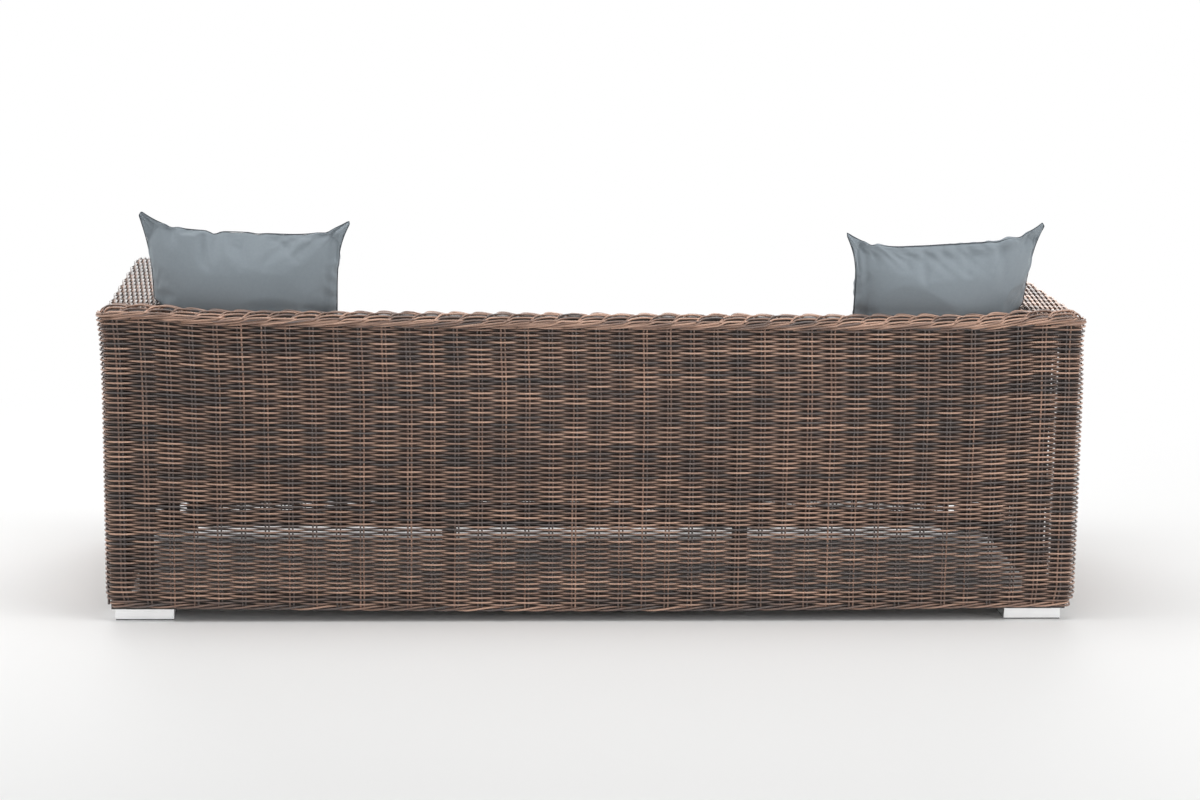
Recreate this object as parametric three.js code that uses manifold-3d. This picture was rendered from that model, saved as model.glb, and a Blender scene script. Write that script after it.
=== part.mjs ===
// Rattan garden sofa: a welded aluminium tube frame with woven rattan skins on back, arms, seat and skirt,
// four low metal feet, three seat cushions and two throw pillows.
// Millimetres, +Z up, the seat faces -Y, +X is the sitter's left.
// The origin is on the floor, under the middle.
import * as THREE from "three";
import { mergeVertices } from "three/addons/utils/BufferGeometryUtils.js";
import Module from "manifold-3d";

const wasm = await Module();
wasm.setup();

// Overall sizes
const sofaWidth = 2100;
const sofaDepth = 820;
const wallHeight = 678; // top of the back and of both arms
const armWidth = 115;
const deckHeight = 300; // top of the woven seat, under the cushions
const cornerRadius = 16; // upright outer corners of the weave
const edgeRadius = 12; // top outer edges of the weave

// Frame and weave
const tubeSize = 30;
const tubeWall = 1.5;
const weaveThickness = 12;
const borderDrop = 16; // how far the braid on the back hangs below the rail cap
const weaveOverlap = 2; // how far the weave covers below the bottom rails
const stakeSpacing = 50.6; // between the pairs of upright stakes that the rows bulge over
const rowHollow = 3.2; // how far the rows fall back between two pairs
const ribShare = 0.2; // of the spacing that stands at the full height
const fit = 0.3; // clearance at every joint and seat

// Feet
const footWidth = 125;
const footDepth = 95;
const footInset = 20; // from the outer face of the weave
const footWall = 3;
const glideThickness = 2;
const glideInset = 1;
const railHeight = 26; // underside of the bottom rails above the floor

// Frame spacing
const backPostSpacing = 630;
const crossBarSpacing = 473;

// Seat cushions
const cushionCount = 3;
const cushionEdgeHeight = 118; // at the top seam
const cushionCrown = 14;
const cushionGap = 2;
const cushionFrontSetback = 6;
const cushionSideDraw = 7;
const cushionWallBulge = 5;
const cushionCells = 12; // facets along each side of the top
const cushionWallRings = 4;

// Throw pillows
const pillowSize = 446; // from corner tip to corner tip
const pillowThickness = 150;
const pillowSideDraw = 24;
const pillowTopDraw = 35;
const pillowBaseDraw = 6;
const pillowDrawPower = 5; // how close to the corner tips the sides draw in
const pillowPuffShare = 0.58;
const pillowPress = 1; // how deep the back's top edge presses into a pillow
const pillowCells = 16;

const halfWidth = sofaWidth / 2;
const halfDepth = sofaDepth / 2;
const halfTube = tubeSize / 2;
const weaveBottom = railHeight - weaveOverlap;
const capBottom = wallHeight - weaveThickness;
const frameTop = capBottom - fit;
const topRail = frameTop - halfTube;
const bottomRail = railHeight + halfTube;
const seatRail = deckHeight - weaveThickness - fit - halfTube;
const outerPostX = halfWidth - weaveThickness - fit - halfTube;
const outerPostY = halfDepth - weaveThickness - fit - halfTube;
const innerFaceX = halfWidth - armWidth;
const innerPostX = innerFaceX + weaveThickness + fit + halfTube;
const backFaceY = outerPostY - halfTube - fit - weaveThickness;
const seatRearRailY = outerPostY - tubeSize - fit;

const finishes = {
  aluminium: { color: 0x9a9c9e, roughness: 0.45, metalness: 1 },
  footMetal: { color: 0xd4d6d8, roughness: 0.35, metalness: 1 },
  rattan: { color: 0x5d4a3f, roughness: 0.6, metalness: 0 },
  plastic: { color: 0x202022, roughness: 0.7, metalness: 0 },
  fabric: { color: 0x8694a0, roughness: 0.9, metalness: 0 },
};

const sofa = new THREE.Group();

function addMesh(name, geometry, finish) {
  const mesh = new THREE.Mesh(geometry, new THREE.MeshStandardMaterial(finishes[finish]));
  mesh.name = name;
  sofa.add(mesh);
  return mesh;
}

// Solids for cutting and joining

function toSolid(geometry) {
  const bare = geometry.clone();
  bare.deleteAttribute("normal");
  bare.deleteAttribute("uv");
  const merged = mergeVertices(bare);
  const vertProperties = new Float32Array(merged.attributes.position.array);
  const triVerts = new Uint32Array(merged.index.array);
  return new wasm.Manifold(new wasm.Mesh({ numProp: 3, vertProperties, triVerts }));
}

function toGeometry(solid) {
  const mesh = solid.getMesh();
  const geometry = new THREE.BufferGeometry();
  geometry.setAttribute("position", new THREE.BufferAttribute(mesh.vertProperties, 3));
  geometry.setIndex(new THREE.BufferAttribute(mesh.triVerts, 1));
  geometry.computeVertexNormals();
  return geometry;
}

function block([x0, x1], [y0, y1], [z0, z1]) {
  const geometry = new THREE.BoxGeometry(x1 - x0, y1 - y0, z1 - z0);
  geometry.translate((x0 + x1) / 2, (y0 + y1) / 2, (z0 + z1) / 2);
  return toSolid(geometry);
}

function roundedRectangle(width, depth, radius) {
  const x = width / 2 - radius;
  const y = depth / 2 - radius;
  const shape = new THREE.Shape();
  shape.absarc(x, y, radius, 0, Math.PI / 2);
  shape.absarc(-x, y, radius, Math.PI / 2, Math.PI);
  shape.absarc(-x, -y, radius, Math.PI, 1.5 * Math.PI);
  shape.absarc(x, -y, radius, 1.5 * Math.PI, 2 * Math.PI);
  return shape;
}

// The outside of the whole sofa as one block with rounded corners and top edges.
// It trims each woven panel.
function outerForm() {
  const planWidth = sofaWidth - 2 * edgeRadius;
  const planDepth = sofaDepth - 2 * edgeRadius;
  const plan = roundedRectangle(planWidth, planDepth, cornerRadius - edgeRadius);
  const geometry = new THREE.ExtrudeGeometry(plan, {
    depth: wallHeight - edgeRadius,
    curveSegments: 2,
    bevelThickness: edgeRadius,
    bevelSize: edgeRadius,
    bevelSegments: 4,
  });
  return toSolid(geometry);
}

const form = outerForm();

// Frame tubes

function tubeGeometry(length) {
  const bore = tubeSize - 2 * tubeWall;
  const section = new THREE.Shape();
  section.moveTo(-halfTube, -halfTube);
  section.lineTo(halfTube, -halfTube);
  section.lineTo(halfTube, halfTube);
  section.lineTo(-halfTube, halfTube);
  const hole = new THREE.Path();
  hole.moveTo(-bore / 2, -bore / 2);
  hole.lineTo(-bore / 2, bore / 2);
  hole.lineTo(bore / 2, bore / 2);
  hole.lineTo(bore / 2, -bore / 2);
  section.holes.push(hole);
  const geometry = new THREE.ExtrudeGeometry(section, { depth: length, bevelEnabled: false });
  return geometry.translate(0, 0, -length / 2);
}

// A tube lies along x, y or z between two stations on that axis, and each end keeps the joint clearance.
function addTube(name, axis, from, to, centre) {
  const geometry = tubeGeometry(to - from - 2 * fit);
  if (axis === "x") geometry.rotateY(Math.PI / 2);
  if (axis === "y") geometry.rotateX(Math.PI / 2);
  const mesh = addMesh(name, geometry, "aluminium");
  mesh.position.set(...centre);
  mesh.position[axis] = (from + to) / 2;
}

const sides = { left: 1, right: -1 };
const ends = { front: -1, rear: 1 };

function addBaseFrame() {
  const railReachX = outerPostX - halfTube;
  const railReachY = outerPostY - halfTube;
  for (const [end, y] of Object.entries(ends)) {
    const centre = [0, y * outerPostY, bottomRail];
    addTube(`${end}_bottom_rail`, "x", -railReachX, railReachX, centre);
  }
  for (const [side, x] of Object.entries(sides)) {
    const centre = [x * outerPostX, 0, bottomRail];
    addTube(`${side}_bottom_rail`, "y", -railReachY, railReachY, centre);
    for (const [end, y] of Object.entries(ends)) {
      const corner = [x * outerPostX, y * outerPostY, 0];
      addTube(`${end}_${side}_corner_post`, "z", railHeight, frameTop, corner);
    }
  }
}

function addBackFrame() {
  const reach = outerPostX - halfTube;
  const postBottom = bottomRail + halfTube;
  const postTop = topRail - halfTube;
  addTube("rear_top_rail", "x", -reach, reach, [0, outerPostY, topRail]);
  for (const [side, x] of Object.entries(sides)) {
    const inner = [x * innerPostX, outerPostY, 0];
    const middle = [(x * backPostSpacing) / 2, outerPostY, 0];
    addTube(`rear_${side}_inner_post`, "z", postBottom, postTop, inner);
    addTube(`rear_${side}_middle_post`, "z", postBottom, postTop, middle);
  }
}

function addArmFrame(side, x) {
  const railEnd = outerPostY - halfTube;
  const postBottom = bottomRail + halfTube;
  const linkFrom = Math.min(x * (innerPostX + halfTube), x * (outerPostX - halfTube));
  const linkTo = Math.max(x * (innerPostX + halfTube), x * (outerPostX - halfTube));
  addTube(`${side}_arm_outer_top_rail`, "y", -railEnd, railEnd, [x * outerPostX, 0, topRail]);
  addTube(`${side}_arm_inner_top_rail`, "y", -railEnd, railEnd, [x * innerPostX, 0, topRail]);
  addTube(`${side}_arm_front_link`, "x", linkFrom, linkTo, [0, -outerPostY, topRail]);
  addTube(`front_${side}_inner_post`, "z", postBottom, frameTop, [x * innerPostX, -outerPostY, 0]);
  addTube(`${side}_arm_middle_post`, "z", postBottom, topRail - halfTube, [x * outerPostX, 0, 0]);
}

function addSeatFrame() {
  const reach = innerPostX - halfTube;
  const sideEnd = outerPostY - halfTube;
  const barFrom = -outerPostY + halfTube;
  const barTo = seatRearRailY - halfTube;
  addTube("seat_front_rail", "x", -reach, reach, [0, -outerPostY, seatRail]);
  addTube("seat_rear_rail", "x", -reach, reach, [0, seatRearRailY, seatRail]);
  for (const [side, x] of Object.entries(sides)) {
    const skirtPost = [(x * backPostSpacing) / 2, -outerPostY, 0];
    addTube(`seat_${side}_rail`, "y", -sideEnd, sideEnd, [x * innerPostX, 0, seatRail]);
    addTube(`front_${side}_skirt_post`, "z", bottomRail + halfTube, seatRail - halfTube, skirtPost);
    addTube(`seat_${side}_cross_bar`, "y", barFrom, barTo, [x * crossBarSpacing, 0, seatRail]);
  }
  addTube("seat_middle_cross_bar", "y", barFrom, barTo, [0, 0, seatRail]);
}

// Woven skins

function addWeave(name, solid) {
  addMesh(name, toGeometry(solid.intersect(form)), "rattan");
}

// The rows fall back between two pairs of stakes, which leaves a shallow upright rib over each pair.
function rowHollows(length, face) {
  const count = Math.floor((length - 2 * cornerRadius) / stakeSpacing);
  const rim = (stakeSpacing * (1 - ribShare)) / 2;
  const hollows = [];
  for (let span = 0; span < count; span++) {
    const middle = (span - (count - 1) / 2) * stakeSpacing;
    const hollow = new THREE.Shape();
    hollow.moveTo(middle - rim, face + rowHollow);
    hollow.lineTo(middle - rim, face);
    hollow.lineTo(middle - rim / 2, face - rowHollow);
    hollow.lineTo(middle + rim / 2, face - rowHollow);
    hollow.lineTo(middle + rim, face);
    hollow.lineTo(middle + rim, face + rowHollow);
    hollows.push(hollow);
  }
  return new THREE.ExtrudeGeometry(hollows, { depth: wallHeight, bevelEnabled: false });
}

// A span on the sitter's left that is mirrored for the right, with its lower end first.
function sideSpan(x, near, far) {
  return [Math.min(x * near, x * far), Math.max(x * near, x * far)];
}

function addBackWeave() {
  const skinFront = halfDepth - weaveThickness;
  const borderBottom = capBottom - borderDrop;
  const skin = block([-halfWidth, halfWidth], [skinFront, halfDepth], [weaveBottom, borderBottom - fit]);
  const cap = block([-halfWidth, halfWidth], [backFaceY, halfDepth], [capBottom, wallHeight]);
  const drop = block([-halfWidth, halfWidth], [skinFront, halfDepth], [borderBottom, capBottom]);
  const innerX = innerFaceX - fit;
  const innerY = [backFaceY, backFaceY + weaveThickness];
  addWeave("back_outer_weave", skin.subtract(toSolid(rowHollows(sofaWidth, halfDepth))));
  addWeave("back_top_border", cap.add(drop));
  addWeave("back_inner_weave", block([-innerX, innerX], innerY, [deckHeight + fit, capBottom - fit]));
}

function addArmWeave(side, x) {
  const skirtRear = halfDepth - weaveThickness - fit;
  const skirtFront = -halfDepth + weaveThickness;
  const top = capBottom - fit;
  const outer = sideSpan(x, halfWidth - weaveThickness, halfWidth);
  const inner = sideSpan(x, innerFaceX, innerFaceX + weaveThickness);
  const whole = sideSpan(x, innerFaceX, halfWidth);
  const innerRear = backFaceY + weaveThickness;
  const outerSkin = block(outer, [skirtFront + fit, skirtRear], [weaveBottom, top]);
  const hollows = rowHollows(sofaDepth, halfWidth).rotateZ((-x * Math.PI) / 2);
  addWeave(`${side}_arm_outer_weave`, outerSkin.subtract(toSolid(hollows)));
  addWeave(`${side}_arm_inner_weave`, block(inner, [skirtFront + fit, innerRear], [deckHeight + fit, top]));
  addWeave(`${side}_arm_front_weave`, block(whole, [-halfDepth, skirtFront], [weaveBottom, top]));
  addWeave(`${side}_arm_top_weave`, block(whole, [-halfDepth, backFaceY - fit], [capBottom, wallHeight]));
}

function addSeatWeave() {
  const reach = innerPostX + halfTube;
  const rear = outerPostY - halfTube - fit;
  const deckBottom = deckHeight - weaveThickness;
  const frontX = innerFaceX - fit;
  const frontY = -outerPostY + halfTube + fit;
  const skirtY = [-halfDepth, -halfDepth + weaveThickness];
  const bed = block([-reach, reach], [frontY, rear], [deckBottom, deckHeight]);
  const lip = block([-frontX, frontX], [-halfDepth, frontY], [deckBottom, deckHeight]);
  addWeave("seat_deck_weave", bed.add(lip));
  addWeave("front_skirt_weave", block([-frontX, frontX], skirtY, [weaveBottom, deckBottom - fit]));
}

// Feet

function addFoot(name, x, y) {
  const outerX = halfWidth - footInset;
  const outerY = halfDepth - footInset;
  const spanX = sideSpan(x, outerX - footWidth, outerX);
  const spanY = sideSpan(y, outerY - footDepth, outerY);
  const inset = ([from, to], by) => [from + by, to - by];
  const shellZ = [glideThickness + fit, railHeight];
  const hollowZ = [0, railHeight - footWall];
  const shell = block(spanX, spanY, shellZ);
  const hollow = block(inset(spanX, footWall), inset(spanY, footWall), hollowZ);
  const glide = block(inset(spanX, glideInset), inset(spanY, glideInset), [0, glideThickness]);
  addMesh(`${name}_foot`, toGeometry(shell.subtract(hollow)), "footMetal");
  addMesh(`${name}_glide`, toGeometry(glide), "plastic");
}

// Soft pieces

// Two square sheets of cells share their rim, or are joined by a wall of rings between their rims.
function sheetPair(cells, wallRings, place) {
  const positions = [];
  const index = [];
  const ids = new Map();
  const rim = (i, j) => i === 0 || j === 0 || i === cells || j === cells;
  const share = (i) => Math.sin(((2 * i) / cells - 1) * (Math.PI / 2));
  const vertex = (i, j, level) => {
    const shared = wallRings === 0 && rim(i, j);
    const key = `${i},${j},${shared ? 0 : level}`;
    if (!ids.has(key)) {
      ids.set(key, positions.length / 3);
      positions.push(...place(share(i), share(j), level));
    }
    return ids.get(key);
  };
  for (let i = 0; i < cells; i++) {
    for (let j = 0; j < cells; j++) {
      const top = [vertex(i, j, 1), vertex(i + 1, j, 1), vertex(i + 1, j + 1, 1), vertex(i, j + 1, 1)];
      const base = [vertex(i, j, 0), vertex(i, j + 1, 0), vertex(i + 1, j + 1, 0), vertex(i + 1, j, 0)];
      index.push(top[0], top[1], top[2], top[0], top[2], top[3]);
      index.push(base[0], base[1], base[2], base[0], base[2], base[3]);
    }
  }
  const around = [];
  for (let i = 0; i < cells; i++) around.push([i, 0]);
  for (let j = 0; j < cells; j++) around.push([cells, j]);
  for (let i = cells; i > 0; i--) around.push([i, cells]);
  for (let j = cells; j > 0; j--) around.push([0, j]);
  for (let ring = 0; ring < wallRings; ring++) {
    around.forEach(([i, j], step) => {
      const [nextI, nextJ] = around[(step + 1) % around.length];
      const low = ring / wallRings;
      const high = (ring + 1) / wallRings;
      const foot = [vertex(i, j, low), vertex(nextI, nextJ, low)];
      const wall = [...foot, vertex(nextI, nextJ, high), vertex(i, j, high)];
      index.push(wall[0], wall[1], wall[2], wall[0], wall[2], wall[3]);
    });
  }
  const geometry = new THREE.BufferGeometry();
  geometry.setAttribute("position", new THREE.Float32BufferAttribute(positions, 3));
  geometry.setIndex(index);
  return geometry;
}

const cushionSpan = (2 * innerFaceX - (cushionCount + 1) * cushionGap) / cushionCount;
const cushionFront = -halfDepth + cushionFrontSetback;
const cushionRear = backFaceY - cushionGap;
const cushionBase = deckHeight + fit;

// A boxed seat cushion: crowned top, flat base, walls that bulge, sides drawn in between the corners.
function seatCushion(centreX) {
  const halfX = cushionSpan / 2 - cushionWallBulge;
  const halfY = (cushionRear - cushionFront) / 2 - cushionWallBulge;
  const centreY = (cushionRear + cushionFront) / 2;
  return sheetPair(cushionCells, cushionWallRings, (u, v, level) => {
    const bulge = cushionWallBulge * Math.sin(Math.PI * level);
    const x = u * (halfX - cushionSideDraw * (1 - v * v)) + bulge * u ** 3;
    const y = v * (halfY - cushionSideDraw * (1 - u * u)) + bulge * v ** 3;
    const crown = level === 1 ? cushionCrown * (1 - u * u) * (1 - v * v) : 0;
    return [centreX + x, centreY + y, cushionBase + level * cushionEdgeHeight + crown];
  });
}

// A square knife-edged pillow, standing on its base edge: pointed corners, drawn-in sides, a full middle.
function throwPillow() {
  const half = pillowSize / 2;
  return sheetPair(pillowCells, 0, (u, v, level) => {
    const draw = v > 0 ? pillowTopDraw : pillowBaseDraw;
    const x = u * (half - pillowSideDraw * (1 - Math.abs(v) ** pillowDrawPower));
    const y = v * (half - draw * (1 - Math.abs(u) ** pillowDrawPower));
    const puff = ((1 - u * u) * (1 - v * v)) ** pillowPuffShare;
    return [x, y, (level - 0.5) * pillowThickness * puff];
  });
}

function addSeatCushions() {
  const cushions = {};
  ["right", "middle", "left"].forEach((name, place) => {
    const centreX = (place - (cushionCount - 1) / 2) * (cushionSpan + cushionGap);
    cushions[name] = seatCushion(centreX);
    addMesh(`${name}_seat_cushion`, cushions[name], "fabric");
  });
  return cushions;
}

// How each pillow stands: its middle's distance from the arm, and its turn, lean and tilt in degrees.
const pillowStands = {
  left: { fromArm: 182, turn: 7.5, lean: 9.5, tilt: 1.2 },
  right: { fromArm: 185, turn: 10, lean: 14.5, tilt: 2.3 },
};

// A pillow leans on the back's top edge.
// It lies flat against the arm, the back and the cushion that it meets.
function addPillow(side, x, cushion) {
  const { fromArm, turn, lean, tilt } = pillowStands[side];
  const leanAngle = THREE.MathUtils.degToRad(lean);
  const geometry = throwPillow();
  geometry.rotateZ(THREE.MathUtils.degToRad(x * tilt));
  geometry.rotateX(Math.PI / 2 - leanAngle);
  geometry.rotateZ(THREE.MathUtils.degToRad(-x * turn));
  const seatTop = cushionBase + cushionEdgeHeight + cushionCrown / 2;
  const centreZ = seatTop + (pillowSize / 2) * Math.cos(leanAngle);
  const rise = wallHeight - centreZ;
  const reach = (pillowThickness / 2) * Math.cos(leanAngle) + rise * Math.tan(leanAngle);
  geometry.translate(x * (innerFaceX - fromArm), backFaceY + pillowPress - reach, centreZ);
  const height = [0, wallHeight + fit];
  const beyondArm = sideSpan(x, innerFaceX - fit, innerFaceX + pillowSize);
  const beyondBack = [backFaceY - fit, backFaceY + pillowSize];
  const arm = block(beyondArm, [-halfDepth, halfDepth], height);
  const back = block([-halfWidth, halfWidth], beyondBack, height);
  const seat = toSolid(cushion.clone().translate(0, 0, fit));
  const pillow = toSolid(geometry).subtract(arm).subtract(back).subtract(seat);
  addMesh(`${side}_throw_pillow`, toGeometry(pillow), "fabric");
}

addBaseFrame();
addBackFrame();
addSeatFrame();
addBackWeave();
addSeatWeave();
const cushions = addSeatCushions();
for (const [side, x] of Object.entries(sides)) {
  addArmFrame(side, x);
  addArmWeave(side, x);
  for (const [end, y] of Object.entries(ends)) addFoot(`${end}_${side}`, x, y);
  addPillow(side, x, cushions[side]);
}

export default sofa;
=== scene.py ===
import math
import random

import bpy
from mathutils import Matrix, Vector
from mathutils.noise import noise


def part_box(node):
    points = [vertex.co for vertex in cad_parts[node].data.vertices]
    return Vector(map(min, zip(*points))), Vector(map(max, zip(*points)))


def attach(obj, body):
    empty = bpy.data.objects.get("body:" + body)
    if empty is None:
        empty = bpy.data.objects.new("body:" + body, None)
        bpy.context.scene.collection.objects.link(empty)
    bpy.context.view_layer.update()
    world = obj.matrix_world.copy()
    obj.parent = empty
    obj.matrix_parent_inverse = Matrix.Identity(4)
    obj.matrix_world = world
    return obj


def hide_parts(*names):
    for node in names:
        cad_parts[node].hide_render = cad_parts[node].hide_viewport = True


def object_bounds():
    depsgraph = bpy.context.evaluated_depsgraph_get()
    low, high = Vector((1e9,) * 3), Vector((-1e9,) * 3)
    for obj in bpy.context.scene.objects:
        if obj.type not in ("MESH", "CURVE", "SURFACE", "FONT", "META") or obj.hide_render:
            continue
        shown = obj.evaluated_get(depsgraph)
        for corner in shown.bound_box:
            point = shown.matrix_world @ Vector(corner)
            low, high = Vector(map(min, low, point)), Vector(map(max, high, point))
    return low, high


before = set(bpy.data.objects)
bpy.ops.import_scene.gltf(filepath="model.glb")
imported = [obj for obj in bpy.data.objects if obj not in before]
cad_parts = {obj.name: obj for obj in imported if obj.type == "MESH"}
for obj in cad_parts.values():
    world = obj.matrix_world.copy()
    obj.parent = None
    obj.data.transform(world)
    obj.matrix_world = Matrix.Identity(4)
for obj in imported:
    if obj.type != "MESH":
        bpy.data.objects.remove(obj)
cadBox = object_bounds()
scene = bpy.context.scene
up = Vector((0, 0, 1))


def addNode(tree, kind, values=None, **settings):
    node = tree.nodes.new(kind if "Node" in kind else "ShaderNode" + kind)
    count = len(tree.nodes)
    node.location = (count % 10 * 190, -(count // 10) * 340)
    for key, value in settings.items():
        setattr(node, key, value)
    for key, value in (values or {}).items():
        if isinstance(value, bpy.types.NodeSocket):
            tree.links.new(value, node.inputs[key])
        else:
            node.inputs[key].default_value = value
    return node


def treeOf(values):  # the tree of the sockets among the values
    return next(value.id_data for value in values if isinstance(value, bpy.types.NodeSocket))


def mathNode(operation, *values, clamp=False):
    settings = {"operation": operation, "use_clamp": clamp}
    return addNode(treeOf(values), "Math", dict(enumerate(values)), **settings).outputs[0]


def vectorNode(operation, *values, output="Vector", **named):
    inputs = {**dict(enumerate(values)), **named}
    return addNode(treeOf(values), "VectorMath", inputs, operation=operation).outputs[output]


def smoothRange(value, start, end, before=0.0, after=1.0):
    values = {"Value": value, "From Min": start, "From Max": end, "To Min": before, "To Max": after}
    settings = {"interpolation_type": "SMOOTHSTEP"}
    return addNode(value.id_data, "MapRange", values, **settings).outputs["Result"]


def cloud(place, scale=1.0, detail=1.0):
    values = {"Vector": place, "Scale": scale, "Detail": detail}
    return addNode(place.id_data, "TexNoise", values).outputs["Fac"]


def newTree(name, kind, takes, gives):  # each socket: its default value, or what it carries
    tree = bpy.data.node_groups.new(name, kind)
    for direction, sockets in (("INPUT", takes), ("OUTPUT", gives)):
        for label, value in sockets.items():
            carries = value if isinstance(value, str) else type(value).__name__.title()
            kindName = "NodeSocket" + carries
            socket = tree.interface.new_socket(name=label, in_out=direction, socket_type=kindName)
            if carries != value:
                socket.default_value = value
    return tree, addNode(tree, "NodeGroupInput").outputs, addNode(tree, "NodeGroupOutput").inputs


def eased(value, low, high):  # 0 below low, 1 above high, smooth between them
    share = min(1.0, max(0.0, (value - low) / (high - low)))
    return share * share * (3 - 2 * share)


patternGives = {"Mask": "Float", "Height": "Float"}


def grainGroup():  # fine uneven grain: a 0-1 mask and a height
    takes = {"Scale": 300.0, "Detail": 3.0, "Contrast": 0.5}
    tree, given, out = newTree("fineGrain", "ShaderNodeTree", takes, patternGives)
    fine = cloud(addNode(tree, "TexCoord").outputs["Object"], given["Scale"], given["Detail"])
    tree.links.new(fine, out["Height"])
    uneven = mathNode("MULTIPLY", mathNode("SUBTRACT", fine, 0.5), given["Contrast"])
    tree.links.new(mathNode("ADD", uneven, 0.5, clamp=True), out["Mask"])
    return tree


def clothGroup():  # plain weave: warp and weft threads crossing, with slubs
    takes = {"Threads": 900.0, "Slub": 0.3}
    tree, given, out = newTree("plainCloth", "ShaderNodeTree", takes, patternGives)
    where = addNode(tree, "TexCoord").outputs["Object"]
    parts = addNode(tree, "SeparateXYZ", {"Vector": where}).outputs

    def threads(place):
        return mathNode("SINE", mathNode("MULTIPLY", place, given["Threads"]))

    warp = threads(mathNode("ADD", parts["X"], parts["Y"]))
    weft = threads(mathNode("SUBTRACT", parts["Z"], mathNode("MULTIPLY", parts["Y"], 0.7)))
    crossing = mathNode("MULTIPLY", warp, weft)
    tree.links.new(mathNode("MULTIPLY_ADD", crossing, 0.5, 0.5), out["Height"])
    tone = mathNode("MULTIPLY", mathNode("SUBTRACT", cloud(where, 160.0, 4.0), 0.5), given["Slub"])
    tone = mathNode("ADD", tone, mathNode("MULTIPLY", crossing, 0.12))
    tree.links.new(mathNode("ADD", tone, 0.5, clamp=True), out["Mask"])
    return tree


fineGrain = grainGroup()
plainCloth = clothGroup()


def newFinish(name, roughness, **constants):
    finish = bpy.data.materials.new(name)
    finish.use_nodes = True
    shader = finish.node_tree.nodes["Principled BSDF"]
    shader.inputs["Roughness"].default_value = roughness
    for key, value in constants.items():
        shader.inputs[key.replace("_", " ")].default_value = value
    return finish, finish.node_tree, shader


def colourRamp(tree, factor, stops):
    node = addNode(tree, "ValToRGB", {"Fac": factor})
    ramp = node.color_ramp
    while len(ramp.elements) < len(stops):
        ramp.elements.new(0.5)
    for element, (position, colour) in zip(ramp.elements, stops):
        element.position = position
        element.color = (*colour, 1)
    return node.outputs["Color"]


def bumpInto(tree, shader, height, strength, distance):
    values = {"Height": height, "Strength": strength, "Distance": distance}
    tree.links.new(addNode(tree, "Bump", values).outputs["Normal"], shader.inputs["Normal"])


rattanLook = {
    "grey": (0.128, 0.106, 0.100),
    "brown": (0.275, 0.172, 0.130),
    "tan": (0.60, 0.38, 0.28),
    "inside": (0.02, 0.016, 0.015),  # colour of the painted shade where a strand passes behind a stake
    "streaks": 0.45,
    "roughness": 0.31,
}


def rattanFinish():
    finish, tree, shader = newFinish("rattanStrand", rattanLook["roughness"])
    tone = addNode(tree, "Attribute", attribute_name="tone").outputs["Fac"]
    worn = addNode(tree, "Attribute", attribute_name="worn").outputs["Fac"]
    values = {"Scale": 420, "Contrast": rattanLook["streaks"]}
    grain = addNode(tree, "Group", values, node_tree=fineGrain).outputs
    toned = mathNode("ADD", tone, mathNode("SUBTRACT", grain["Mask"], 0.5))
    stops = [(0.0, rattanLook["grey"]), (0.42, rattanLook["brown"]), (1.0, rattanLook["tan"])]
    # painted shade: the colour is mixed towards the dark inside colour where the strand swings back
    values = {"Factor": worn, "A": (*rattanLook["inside"], 1), "B": colourRamp(tree, toned, stops)}
    mixed = addNode(tree, "Mix", values, data_type="RGBA").outputs["Result"]
    tree.links.new(mixed, shader.inputs["Base Color"])
    bumpInto(tree, shader, grain["Height"], 0.25, 0.0004)
    return finish


def patternFinish(name, roughness, pattern, values, stops, bump, **constants):
    finish, tree, shader = newFinish(name, roughness, **constants)
    grain = addNode(tree, "Group", values, node_tree=pattern).outputs
    tree.links.new(colourRamp(tree, grain["Mask"], stops), shader.inputs["Base Color"])
    bumpInto(tree, shader, grain["Height"], *bump)
    return finish


def grainedFinish(name, colour, darker, roughness, scale):
    values, stops = {"Scale": scale, "Contrast": 0.9}, [(0.2, darker), (0.8, colour)]
    return patternFinish(name, roughness, fineGrain, values, stops, (0.12, 0.0002))


def brushedFinish():
    finish, tree, shader = newFinish("brushedFoot", 0.42, Metallic=1.0)
    values = {"Vector": addNode(tree, "TexCoord").outputs["Object"], "Scale": (12, 12, 1400)}
    lines = addNode(tree, "Mapping", values).outputs["Vector"]
    brushed = cloud(lines, detail=3.0)
    stops = [(0.3, (0.91, 0.915, 0.92)), (0.7, (0.97, 0.975, 0.98))]
    tree.links.new(colourRamp(tree, brushed, stops), shader.inputs["Base Color"])
    rough = addNode(tree, "MapRange", {"Value": brushed, "To Min": 0.36, "To Max": 0.52})
    tree.links.new(rough.outputs["Result"], shader.inputs["Roughness"])
    bumpInto(tree, shader, brushed, 0.08, 0.0002)
    return finish


def clothFinish(name, light, dark, threads):
    values, stops = {"Threads": threads}, [(0.25, dark), (0.75, light)]
    sheen = {"Sheen_Weight": 0.35, "Sheen_Roughness": 0.4}
    return patternFinish(name, 0.82, plainCloth, values, stops, (0.35, 0.0006), **sheen)


rattan = rattanFinish()
coatedTube = grainedFinish("coatedTube", (0.055, 0.046, 0.042), (0.04, 0.033, 0.03), 0.5, 250)
brushedFoot = brushedFinish()
glidePlastic = grainedFinish("glidePlastic", (0.03, 0.03, 0.032), (0.015, 0.015, 0.016), 0.6, 500)
cushionCloth = clothFinish("cushionCloth", (0.27, 0.31, 0.345), (0.215, 0.25, 0.282), 2400)
pillowCloth = clothFinish("pillowCloth", (0.275, 0.318, 0.35), (0.22, 0.257, 0.287), 2600)
seamThread = grainedFinish("seamThread", (0.09, 0.105, 0.12), (0.05, 0.062, 0.075), 0.8, 600)
print("finishes made")


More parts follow.
